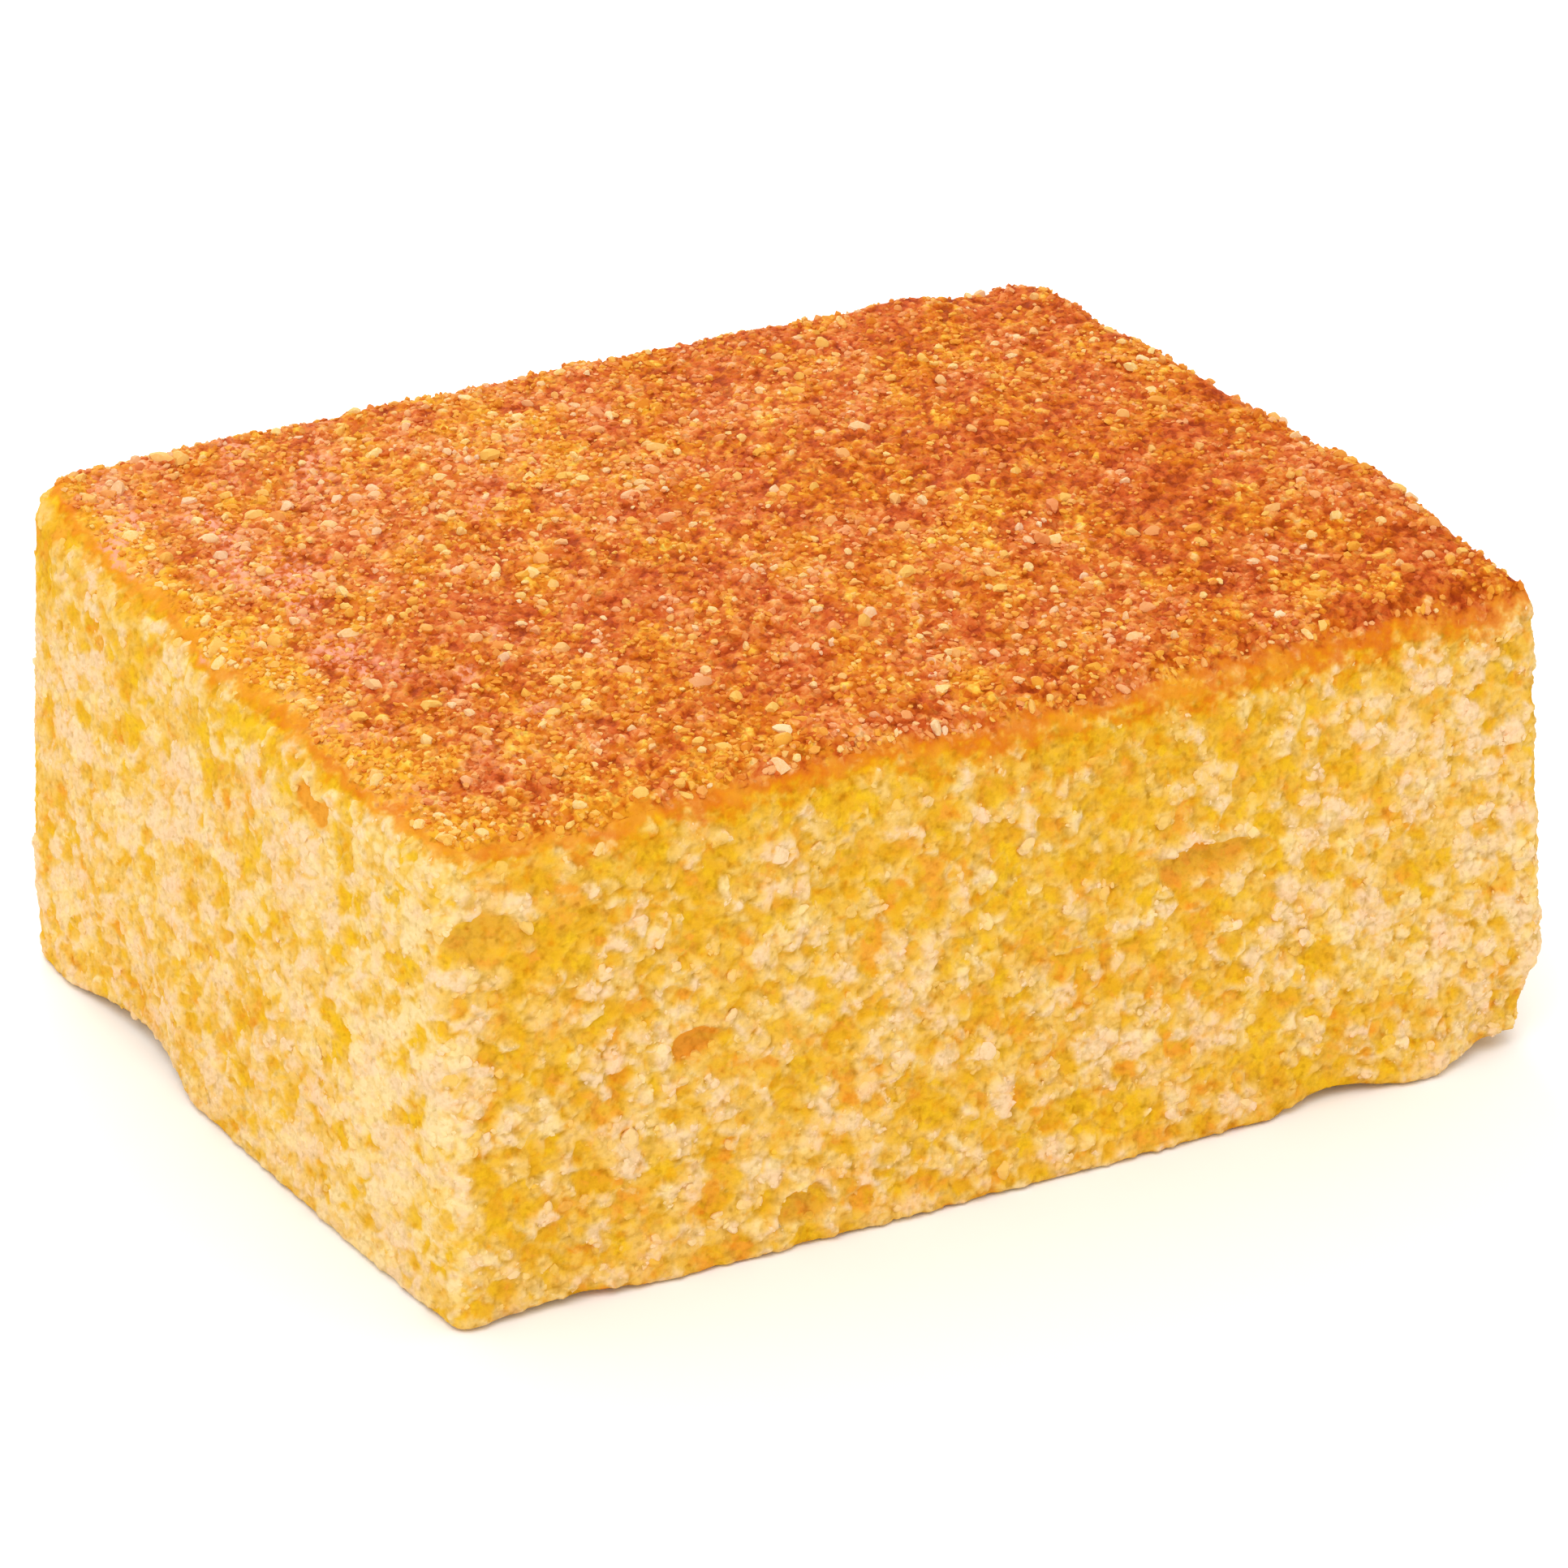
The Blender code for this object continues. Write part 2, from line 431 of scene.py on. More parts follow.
def way_out(cube):
    """Unit direction away from the block.

    It is how far the point lies past the block shrunk by one rim radius, on each axis, scaled
    to length 1. It has no downward part, so the foot stays flat, and on the underside it fades
    to nothing within one rim radius of the edge.
    """
    past = np.clip(np.abs(cube) * HALF - (HALF - RIM_RADIUS), 0, None) * np.sign(cube)
    past[:, 2] = np.clip(past[:, 2], 0, None)
    return past / np.maximum(np.linalg.norm(past, axis=1), RIM_RADIUS)[:, None]


# ---- relief and its tones


def crumb_relief(place, out, look):
    """Height, tone and gaps of the open crumb.

    Space is drawn out along the flow, stirred and split into cells of three sizes: lumps,
    flakes and granules. Each cell has its own level, which fades towards its borders, and soft
    noises are added. The level is lower near the crust and at the foot of the long near face,
    and higher at the nearest post, at the right end and on the left face. The tone is the level
    squeezed to 0 to 1 by a logistic curve, about the share of the crumb that lies deeper. The
    height follows the tone, and each flake and granule adds a dome. The gap shade marks where
    the material paints shade: where granules meet, or where some flakes do. The left face was
    cut cleaner and is flatter.
    """
    drawn = drawn_out(place)
    mixed = stirred(drawn, 0.45 * MM, 1.0 * MM, 11)
    mixed = stirred(mixed, 0.18 * MM, 0.45 * MM, 31)
    lump, lump_next, lump_level = cells(mixed, look.lump, 1)
    flake, flake_next, flake_level = cells(mixed, look.flake, 2)
    granule, granule_next, granule_level = cells(mixed, look.granule, 3)
    level = (
        0.80 * (lump_level - 0.5) * ramp(0.0, 0.3, lump_next - lump)
        + 0.95 * (flake_level - 0.5) * ramp(0.0, 0.3, flake_next - flake)
        + 0.25 * (granule_level - 0.5) * ramp(0.0, 0.35, granule_next - granule)
        + 0.22 * clouds(drawn, 2.6 * MM, 4)
        + 0.24 * clouds(place, 6.5 * MM, 5)
        + 0.25 * clouds(mixed, 1.4 * MM, 7)
        + 0.08 * clouds(mixed, 0.8 * MM, 6)
    )
    x, y, z = place.T
    left, front = (np.clip(-out[:, axis], 0, 1) for axis in (0, 1))
    right = ramp(20 * MM, 34 * MM, x) * front
    near_crust = ramp(13 * MM, 27 * MM, z) * (1 - left) * (1 - right)
    level += 0.02 + 0.16 * left + 0.18 * right - 0.15 * near_crust
    level -= 0.22 * ramp(25 * MM, 30 * MM, z) * left
    level -= 0.05 * ramp(9 * MM, 3 * MM, z) * front
    level += 0.12 * ramp(-32 * MM, -38 * MM, x) * front
    level += 0.12 * ramp(-16 * MM, -28 * MM, y) * left
    tone = 1 / (1 + np.exp(-level / 0.19))
    dome = 1.3 * np.clip(1 - (flake / 0.8) ** 2, 0, 1)
    dome += 1.5 * np.clip(1 - (granule / 0.75) ** 2, 0, 1) - 1.4
    height = look.relief * (0.62 * tone**0.8 - 0.42) + 0.12 * MM * dome * (0.3 + tone)
    height *= 1 - 0.45 * left
    torn = ramp(-0.1, 0.5, clouds(place, 1.0 * MM, 71))
    gap = 0.6 * ramp(0.45, 0.95, granule) + 0.6 * torn * ramp(0.3, 0.0, flake_next - flake)
    return height, tone, np.clip(gap * (1 - 0.8 * left) + 0.08 * left, 0, 1)


def carve_hollows(place, height, tone, warm):
    """Sinks the torn hollows.

    Each is half of an egg shape with a ragged outline. Inside, the height drops by its depth
    times the egg's section, the tone falls to that of a golden wall and the warmth is its own.
    A pale lip stands above it.
    """
    ragged = stirred(place, 0.9 * MM, 1.9 * MM, 51)
    for *sizes, own_warmth in HOLLOWS:
        centre, wide, tall, depth = (np.array(value) * MM for value in sizes)
        away = (ragged - centre) / (wide, wide, tall)
        away = np.linalg.norm(away, axis=1)
        inside = 1 - ramp(0.8, 1.05, away)
        above = ramp(0.0, 0.8 * tall, ragged[:, 2] - centre[2])
        lip = ramp(0.8, 1.05, away) * ramp(1.6, 1.1, away) * above
        height = height * (1 - inside) - depth * np.sqrt(np.clip(1 - away**2, 0, 1))
        height += 0.2 * MM * lip
        tone = tone * (1 - inside) + 0.24 * inside + 0.6 * lip * (1 - tone)
        warm += inside * (own_warmth - warm)
    return height, tone, warm


def crust_relief(place, look):
    """Height and grain of the browned top.

    Two soft noises roll it. Grains are half balls, drawn out along the flow, on the seeds of
    two sizes of cells: each small cell holds one, at its own height, and one large cell in three
    does. The grain number is how high the point lies on such a ball.
    """
    height = 0.11 * MM * clouds(place, 3.4 * MM, 21) + 0.08 * MM * clouds(place, 1.4 * MM, 22)
    moved = stirred(drawn_out(place), 0.12 * MM, 0.5 * MM, 61)
    near, _, number = cells(moved, look.grain, 24)
    small = np.sqrt(np.clip(1 - (near / 0.7) ** 2, 0, 1)) * (0.4 + 0.6 * number)
    near, _, number = cells(moved, 0.95 * MM, 23)
    large = np.sqrt(np.clip(1 - (near / 0.42) ** 2, 0, 1)) * (number < 0.36)
    height += look.relief * (np.maximum(0.65 * small, large) - 0.3)
    return height, np.maximum(0.6 * small, large)


def baked_share(place, cube, out):
    """How far the baked colour has reached, from 1 on the crust to 0 in the crumb.

    It falls with the way from where the crust begins to bend down, over the rim and down the
    cut face, between the start and the end given for the side that the point faces. Two noises
    of a few millimetres make its edge ragged. It starts and ends sooner at the left of the long
    near face and at the back of the left face. Where no side is faced, a plain band counts.
    """
    tiny = 1e-6
    facing = np.full(len(cube), tiny)
    start, end = (np.full(len(cube), tiny * edge) for edge in (1.0 * MM, 5.0 * MM))
    for (side_x, side_y), (first, last) in BAKED_BANDS.items():
        share = np.clip(out[:, 0] * side_x + out[:, 1] * side_y, 0, 1) ** 2
        start += share * (first * MM)
        end += share * (last * MM)
        facing += share
    to_edge = ((1 - np.abs(cube[:, :2])) * HALF[:2]).min(axis=1)
    way = np.clip(RIM_RADIUS - to_edge, 0, None) + (1 - cube[:, 2]) * HEIGHT / 2
    sooner = 1.5 * MM * ramp(20 * MM, -38 * MM, place[:, 0]) - 0.3 * MM
    way += sooner * np.clip(-out[:, 1], 0, 1)
    way += 1.6 * MM * ramp(4 * MM, 24 * MM, place[:, 1]) * np.clip(-out[:, 0], 0, 1)
    way += 1.0 * MM * clouds(place, 5.0 * MM, 41) + 0.8 * MM * clouds(place, 1.6 * MM, 42)
    return 1 - ramp(start / facing, end / facing, way)


def browning(place, out):
    """How brown the crust is, from 0 to 1.

    Three noises make patches. It is more to the right, and less at the left end, at the back,
    round the rim and at the left of the near edge.
    """
    x, y = (place / HALF)[:, :2].T
    slope = 0.06 * x + 0.12 * ramp(-0.1, 0.6, x) - 0.03 * y - 0.06 * ramp(0.6, 1.0, y)
    slope -= 0.12 * ramp(-0.65, -1.0, x) + 0.32 * ramp(-0.85, -0.96, x)
    slope -= 0.10 * ramp(-0.75, -1.0, y) * ramp(0.0, -0.7, x)
    slope -= 0.34 * (1 - np.clip(out[:, 2], 0, 1)) ** 0.7
    patches = 0.26 * clouds(place, 13 * MM, 45) + 0.30 * clouds(place, 4.8 * MM, 46)
    return np.clip(0.57 + slope + patches + 0.30 * clouds(drawn_out(place), 1.6 * MM, 47), 0, 1)


def painted_sheen_share(place):
    """Painted sheen's share of the crust, 0 to 1: only at the left end, in patches of a few mm."""
    x, y = (place / HALF)[:, :2].T
    reach = ramp(-0.25, -0.8, x + 0.35 * clouds(place, 9 * MM, 55)) * ramp(-0.85, -0.4, y)
    return reach * ramp(-0.05, 0.4, clouds(drawn_out(place), 3.2 * MM, 56))


def gold_lean(place):
    """How far the crust leans to gold, from 0 to 1, with pink at the other end.

    Two noises make patches. The near edge leans to gold at its left, and so does the left rim.
    """
    x, y = (place / HALF)[:, :2].T
    ends = 0.15 * ramp(-0.6, -0.95, y) * ramp(0.2, -0.6, x) + 0.5 * ramp(-0.88, -0.97, x)
    drawn = drawn_out(place)
    patches = 0.45 * clouds(drawn, 1.3 * MM, 72) + 0.7 * clouds(drawn, 3.6 * MM, 74)
    return np.clip(0.5 + ends + patches, 0, 1)


def warmth(place, out):
    """How far the crumb turns to orange, from 0 to 1, with yellow at the other end.

    One noise makes patches. The left face and the nearest post are yellower.
    """
    left = np.clip(-out[:, 0], 0, 1)
    yellower = 0.10 * left + 0.10 * ramp(-30 * MM, -39 * MM, place[:, 0])
    yellower = yellower * ramp(-5 * MM, -25 * MM, place[:, 1]) + 0.04 * left
    return np.clip(0.5 + 0.35 * clouds(drawn_out(place), 3.2 * MM, 8) - yellower, 0, 1)


def finished_surface(cube, settings):
    """Points of the finished surface, and the tones that its material reads.

    The height is a mix of the crumb's and the crust's relief by the baked share, and it is
    added along the way out. The underside is flat, with shallow pits where the tone is low, as
    the tin pressed it.
    """
    place, out = block_form(cube), way_out(cube)
    baked = baked_share(place, cube, out)
    height, tone, gap = crumb_relief(place, out, settings.crumb)
    height, tone, warm = carve_hollows(place, height, tone, warmth(place, out))
    crust_height, grain = crust_relief(place, settings.crust)
    height = height * (1 - ramp(0.05, 0.6, baked)) + crust_height * ramp(0.3, 1.0, baked)
    tin = ramp(0.6 * MM, 0.0, place[:, 2])
    point = place + height[:, None] * out
    point[:, 2] += tin * (cube[:, 2] <= -1) * 0.25 * MM * ramp(0.35, 0.0, tone)
    tones = {"tone": tone, "gap": gap, "baked": baked, "grain": grain}
    tones |= {"browned": browning(place, out), "haze": painted_sheen_share(place)}
    tones |= {"warmth": warm, "lean": gold_lean(place)}
    return point, out, tones


# ---- meshes


def placed(name, data):
    """A new object with this data, in the scene."""
    made = bpy.data.objects.new(name, data)
    bpy.context.scene.collection.objects.link(made)
    return made


def make_mesh(name, points, faces, face_uv, tones, material):
    """A smooth mesh object from points, faces, one map place per face corner and tones."""
    mesh = bpy.data.meshes.new(name)
    mesh.from_pydata(points, [], faces)
    mesh.uv_layers.new(name=UV_MAP).uv.foreach_set("vector", face_uv.astype(np.float32).ravel())
    for tone_name, values in tones.items():
        layer = mesh.attributes.new(tone_name, "FLOAT", "POINT")
        layer.data.foreach_set("value", values.astype(np.float32))
    mesh.materials.append(material)
    mesh.shade_smooth()
    if mesh.validate():
        raise RuntimeError(f"{name} had faults in its mesh")
    piece = placed(name, mesh)
    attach(piece, BODY)
    return piece


def cube_patch(axis, sign, cell, span):
    """Even grid on one face of the cube, as (columns, rows, 3), with its rows going up.

    The column axis times the row axis points out of the cube. span is the part of the columns'
    way across that the grid covers.
    """
    along, up = ((1, 2), (0, 2), (0, 1))[axis]
    turn = sign if axis != 1 else -sign
    start, stop = (turn * (2 * share - 1) for share in span)
    columns = round(HALF[along] * abs(stop - start) / cell) + 1
    rows = round(2 * HALF[up] / cell) + 1
    cube = np.empty((columns, rows, 3))
    cube[..., axis] = sign
    cube[..., along] = np.linspace(start, stop, columns)[:, None]
    cube[..., up] = np.linspace(-1, 1, rows)
    return cube


def slab(name, axis, sign, cell, settings, material, span=(0, 1)):
    """One side of the block as a closed slab.

    The outer side is the finished surface over a cube face. Each column of its grid is closed
    to a loop by two more points, a slab's thickness inwards of its top and bottom ends, and a
    flat face closes each end of the tube that the loops make. So neighbours meet at a mitre.
    """
    cube = cube_patch(axis, sign, cell, span)
    columns, rows = cube.shape[:2]
    points, out, tones = finished_surface(cube.reshape(-1, 3), settings)
    points, out = (values.reshape(columns, rows, 3) for values in (points, out))
    ends = [-1, 0]
    inwards = out[:, ends] if axis != 2 or sign > 0 else out[:, ends] - (0, 0, 1)
    inner = points[:, ends] - SLAB_THICKNESS * inwards
    loops = np.concatenate([points, inner], axis=1)
    depth = loops.shape[1]
    grids = {key: values.reshape(columns, rows) for key, values in tones.items()}
    tones = {key: np.hstack([grid, grid[:, ends]]).ravel() for key, grid in grids.items()}
    index = np.arange(columns * depth).reshape(columns, depth)
    after = np.roll(index, -1, axis=1)
    quads = np.stack([index[:-1], index[1:], after[1:], after[:-1]], -1).reshape(-1, 4)
    caps = [index[0].tolist(), index[-1, ::-1].tolist()]
    across = np.linspace(0.0, MAP_SIDES, columns)
    over = np.linspace(0.0, 1.0, depth + 1)
    column, row = (grid.ravel() for grid in np.indices((columns - 1, depth)))
    corners = ((0, 0), (1, 0), (1, 1), (0, 1))
    quad_uv = [np.stack([across[column + i], over[row + j]], -1) for i, j in corners]
    cap_uv = np.stack([np.where(np.arange(depth) < rows, *MAP_CAPS), over[:-1]], -1)
    face_uv = np.concatenate([np.stack(quad_uv, 1).reshape(-1, 2), cap_uv, cap_uv[::-1]])
    faces = quads.tolist() + caps
    piece = make_mesh(name, loops.reshape(-1, 3), faces, face_uv, tones, material)
    piece.data.set_sharp_from_angle(angle=SLAB_SHARP)
    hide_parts(NODE)
    return piece


def unit_ball(rounds):
    """Corners and triangles of a ball of 20 or 80 triangles."""
    ball = bmesh.new()
    bmesh.ops.create_icosphere(ball, subdivisions=rounds, radius=1.0)
    corners = np.array([vertex.co for vertex in ball.verts])
    triangles = np.array([[vertex.index for vertex in face.verts] for face in ball.faces])
    ball.free()
    return corners, triangles


def pebbles(name, centre, out, size, rounds, rng, tones, material):
    """Many small angular solids as one mesh.

    Each is a ball cut by nine random planes, at 0.55 to 0.95 of its radius: along a direction,
    its radius is the least of plane distance over the cosine to the plane's normal. It is
    scaled to its own length, width and thickness, turned at random about the way out and set
    at its centre.
    """
    corners, triangles = unit_ball(rounds)
    count = len(centre)
    normals = rng.normal(size=(count, 9, 3))
    normals /= np.linalg.norm(normals, axis=2)[..., None]
    reach = rng.uniform(0.55, 0.95, (count, 1, 9))
    cosine = np.einsum("vk,npk->nvp", corners, normals)
    radius = np.minimum((reach / np.maximum(cosine, 0.2)).min(axis=2), 1.1)
    shape = corners * radius[..., None]
    side = np.cross(out, rng.normal(size=(count, 3)))
    side /= np.linalg.norm(side, axis=1)[:, None]
    axes = np.stack([side, np.cross(out, side), out], 1)
    points = centre[:, None] + np.einsum("nvk,nk,nkj->nvj", shape, size / 2, axes)
    faces = (triangles + (np.arange(count) * len(corners))[:, None, None]).reshape(-1, 3)
    grid = math.ceil(math.sqrt(count))
    home = np.stack([np.arange(count) % grid, np.arange(count) // grid], -1)
    place = (home[:, None] + 0.5 + 0.42 * shape[..., :2]) / grid
    face_uv = place[:, triangles].reshape(-1, 2)
    spread = {key: np.repeat(values, len(corners)) for key, values in tones.items()}
    piece = make_mesh(name, points.reshape(-1, 3), faces.tolist(), face_uv, spread, material)
    piece.data.set_sharp_from_angle(angle=PEBBLE_SHARP)
    return piece


# ---- materials


class Wire:
    """One value in a shader tree. Sums and products of wires add the Math nodes for them."""

    def __init__(self, recipe, socket):
        self.recipe = recipe
        self.socket = socket

    def math(self, operation, *values, clamp=False):
        """A Math node on these values."""
        settings = {"operation": operation, "use_clamp": clamp}
        return self.recipe.node("ShaderNodeMath", settings, dict(enumerate(values)))

    def __add__(self, other):
        return self.math("ADD", self, other)

    def __sub__(self, other):
        return self.math("SUBTRACT", self, other)

    def __rsub__(self, other):
        return self.math("SUBTRACT", other, self)

    def __mul__(self, other):
        return self.math("MULTIPLY", self, other)

    __radd__ = __add__
    __rmul__ = __mul__

    def clamped(self):
        """This value held between 0 and 1."""
        return self.math("ADD", self, 0.0, clamp=True)

    def between(self, low, high):
        """0 below low, 1 above high, with a smooth rise between them."""
        settings = {"interpolation_type": "SMOOTHSTEP"}
        values = {"Value": self, "From Min": low, "From Max": high}
        return self.recipe.node("ShaderNodeMapRange", settings, values)


class Recipe:
    """The shader tree of one material."""

    def __init__(self, name):
        self.material = bpy.data.materials.new(name)
        self.material.use_nodes = True
        self.tree = self.material.node_tree
        self.shader = self.tree.nodes["Principled BSDF"]
        self.place = self.drawn_place()

    def node(self, kind, settings=None, values=None, output=0):
        """Adds a node, with its settings first and then its sockets' values or links."""
        made = self.tree.nodes.new(kind)
        for key, value in (settings or {}).items():
            if key == "stops":
                self.set_stops(made.color_ramp, value)
            else:
                setattr(made, key, value)
        for key, value in (values or {}).items():
            self.feed(made.inputs[key], value)
        return Wire(self, made.outputs[output])

    def feed(self, socket, value):
        """Links a wire to a socket, or sets a plain value on it."""
        if isinstance(value, Wire):
            self.tree.links.new(value.socket, socket)
        elif socket.type == "RGBA":
            socket.default_value = (*value, 1.0)
        else:
            socket.default_value = value

    @staticmethod
    def set_stops(colour_ramp, stops):
        """Gives a ramp its stops, each a place and a colour."""
        while len(colour_ramp.elements) < len(stops):
            colour_ramp.elements.new(1.0)
        for element, (place, shade) in zip(colour_ramp.elements, stops, strict=True):
            element.position = place
            element.color = (*shade, 1.0)

    def tone(self, name):
        """A number that the mesh holds at its points."""
        settings = {"attribute_type": "GEOMETRY", "attribute_name": name}
        return self.node("ShaderNodeAttribute", settings, output="Fac")

    def drawn_place(self):
        """The point in the block's own space, squeezed along the flow."""
        turn = Vector(FLOW).to_track_quat("Y", "Z").to_euler()
        here = self.node("ShaderNodeTexCoord", output="Object")
        values = {"Vector": here, "Rotation": turn, "Scale": (1.0, DRAWN_OUT, 1.0)}
        return self.node("ShaderNodeMapping", {"vector_type": "TEXTURE"}, values)

    def noise(self, size, detail=2.0):
        """Noise from 0 to 1 with features of this size."""
        values = {"Vector": self.place, "Scale": 1 / size, "Detail": detail}
        return self.node("ShaderNodeTexNoise", None, values, output="Fac")

    def grains(self, size):
        """Cells of this size, each with a random colour of its own."""
        values = {"Vector": self.place, "Scale": 1 / size}
        return self.node("ShaderNodeTexVoronoi", None, values, output="Color")

    def part(self, shade, channel="Red"):
        """One of a colour's three numbers."""
        return self.node("ShaderNodeSeparateColor", None, {"Color": shade}, output=channel)

    def ramp(self, value, stops):
        """The colour at a value on a row of stops."""
        return self.node("ShaderNodeValToRGB", {"stops": stops}, {"Fac": value})

    def mix(self, share, first, second, blend="MIX"):
        """Two colours mixed by a share."""
        settings = {"data_type": "RGBA", "blend_type": blend}
        return self.node("ShaderNodeMix", settings, {0: share, 6: first, 7: second}, output=2)

    def bump(self, height, distance):
        """A normal tilted by a height."""
        values = {"Height": height, "Distance": distance, "Strength": BUMP_STRENGTH}
        return self.node("ShaderNodeBump", None, values)

    def finish(self, roughness, gloss, **links):
        """Sets the shader's own values and links what varies."""
        self.shader.inputs["Roughness"].default_value = roughness
        self.shader.inputs["Specular IOR Level"].default_value = gloss
        for key, value in links.items():
            self.feed(self.shader.inputs[key.replace("_", " ")], value)
        return self.material


def crumb_colour(recipe, look, tone, gap, warmth):
    """Colour of the crumb by its tone.

    Granules, each with its own shade, and a soft speckle break the tone up. The warmth, a finer
    noise and single granules turn the hollows to orange or lemon and the lumps to peach or
    cream. Painted shade makes the gaps, a fine unevenness and small specks darker and richer.
    """
    shade = recipe.part(recipe.grains(0.5 * MM))
    fine = recipe.noise(0.26 * MM, detail=1.0)
    middle = recipe.noise(0.5 * MM, detail=1.0)
    uneven = (tone + 0.05 * (shade - 0.5) + 0.12 * (middle - 0.5)).clamped()
    stops = (
        (0.02, look.amber), (0.15, look.golden), (0.40, look.yellow),
        (0.70, look.cream), (0.97, look.pale),
    )
    crumb = recipe.ramp(uneven, stops)
    hue = recipe.noise(1.3 * MM, detail=1.0) + 0.9 * warmth + 0.22 * shade
    orange, lemon = hue.between(1.08, 1.38), 1 - hue.between(0.74, 1.04)
    low, high = 1 - tone.between(0.2, 0.75), tone.between(0.35, 0.85)
    crumb = recipe.mix(0.75 * low * orange, crumb, swatch(234, 153, 52))
    crumb = recipe.mix(0.60 * low * lemon, crumb, swatch(239, 193, 32))
    crumb = recipe.mix(0.50 * high * orange, crumb, swatch(247, 201, 160))
    crumb = recipe.mix(0.50 * high * lemon, crumb, swatch(248, 222, 152))
    # Painted shade: the gap shade, a fine unevenness and small specks darken the crumb by the gap
    # tint.
    spots = recipe.noise(0.45 * MM, detail=0.0).between(0.66, 0.76)
    depth = 0.01 + 0.75 * gap + 0.8 * (fine - 0.5) + 0.9 * (middle - 0.5) + 0.3 * spots
    return recipe.mix(depth.clamped(), crumb, GAP_SHADE_TINT, blend="MULTIPLY")


def crust_colour(recipe, look, browned, grain, haze, lean):
    """Colour of the crust.

    It is darkest in the creases and brightest on the tops of grains: partly the grains' own
    colour, and partly painted highlight on their tops and painted shade at their feet. Each grain
    has its own shade and its own lean to gold or to pink. Where it is least browned it turns
    golden, and where it is hazy a painted sheen, a paler and pinker haze that stands in for light
    reflected off the crust, lies on its raised places. Creases and pin holes are dark with
    painted shade.
    """
    grain_colour = recipe.grains(0.42 * MM)
    shade = recipe.part(grain_colour)
    speckle = recipe.noise(0.3 * MM, detail=1.0)
    middle = recipe.noise(1.0 * MM, detail=1.0)
    level = 0.54 + 0.34 * (shade - 0.5) + 0.5 * (speckle - 0.5) + 1.0 * (middle - 0.5)
    # The grain term is partly the grains' own paler colour and partly painted highlight on their
    # tops and painted shade at their feet.
    level = level + 0.45 * (grain - 0.4) - 0.5 * (browned - 0.5)
    stops = (
        (0.02, look.dark), (0.26, look.red_brown), (0.5, look.burnt),
        (0.74, look.glowing), (0.98, look.bright),
    )
    crust = recipe.ramp(level.clamped(), stops)
    crust = recipe.mix(0.6 * (1 - browned.between(0.14, 0.50)), crust, look.golden)
    hue = 0.5 * recipe.part(grain_colour, "Green") + lean - 0.25
    crust = recipe.mix(hue.between(0.5, 0.85), crust, GOLD_TINT, blend="MULTIPLY")
    crust = recipe.mix(1 - hue.between(0.15, 0.5), crust, PINK_TINT, blend="MULTIPLY")
    # Painted shade: the creases between the grains and the pin holes are darkened by the crease
    # tint.
    crease_shade = (1 - grain.between(0.0, 0.25)) * recipe.noise(0.5 * MM).between(0.35, 0.55)
    pin_hole_shade = recipe.noise(0.3 * MM, detail=0.0).between(0.58, 0.70)
    dark = (0.6 * crease_shade + 0.6 * pin_hole_shade).clamped()
    crust = recipe.mix(dark, crust, CREASE_SHADE_TINT, blend="MULTIPLY")
    # Painted sheen: a paler, pinker haze on the raised places at the left end stands in for light
    # reflected off the crust.
    painted_sheen_mask = haze * recipe.noise(0.45 * MM).between(0.35, 0.55) * level.between(0.25, 0.65)
    return recipe.mix(0.85 * painted_sheen_mask, crust, look.painted_sheen)


def bread_material(settings):
    """The block's own surface: open crumb that turns to crust as the baked share rises."""
    recipe = Recipe("baked_cornbread")
    baked = recipe.tone("baked")
    crumb = crumb_colour(
        recipe, settings.crumb, recipe.tone("tone"), recipe.tone("gap"), recipe.tone("warmth")
    )
    lean = recipe.tone("lean")
    crust_tones = (recipe.tone(name) for name in ("browned", "grain", "haze"))
    crust = crust_colour(recipe, settings.crust, *crust_tones, lean)
    ragged = baked + 1.1 * (recipe.noise(0.7 * MM, detail=2.0) - 0.5)
    warmed = recipe.mix(1.0, crumb, UNDER_CRUST_TINT, blend="MULTIPLY")
    ember = recipe.mix(lean.between(0.5, 0.9), swatch(213, 106, 25), swatch(226, 142, 42))
    glow = recipe.mix(0.75 * ragged.between(0.2, 0.6), warmed, ember)
    band = recipe.mix(ragged.between(0.0, 0.4), crumb, glow)
    colour_here = recipe.mix(ragged.between(0.5, 0.9), band, crust)
    fine = recipe.noise(0.15 * MM, detail=2.0)
    coarse = recipe.noise(0.4 * MM, detail=2.0)
    normal = recipe.bump(fine + coarse * 1.5, 0.06 * MM)
    rough = 0.75 - 0.3 * baked + 0.15 * fine
    return recipe.finish(0.6, 0.01, Base_Color=colour_here, Roughness=rough, Normal=normal)


def crumb_material(settings):
    """Loose lumps of crumb: each has its own tone from golden to pale."""
    recipe = Recipe("loose_crumb")
    base = crumb_colour(recipe, settings.crumb, recipe.tone("tone"), 0.0, recipe.tone("warmth"))
    normal = recipe.bump(recipe.noise(0.2 * MM), 0.05 * MM)
    return recipe.finish(0.8, 0.02, Base_Color=base, Normal=normal)


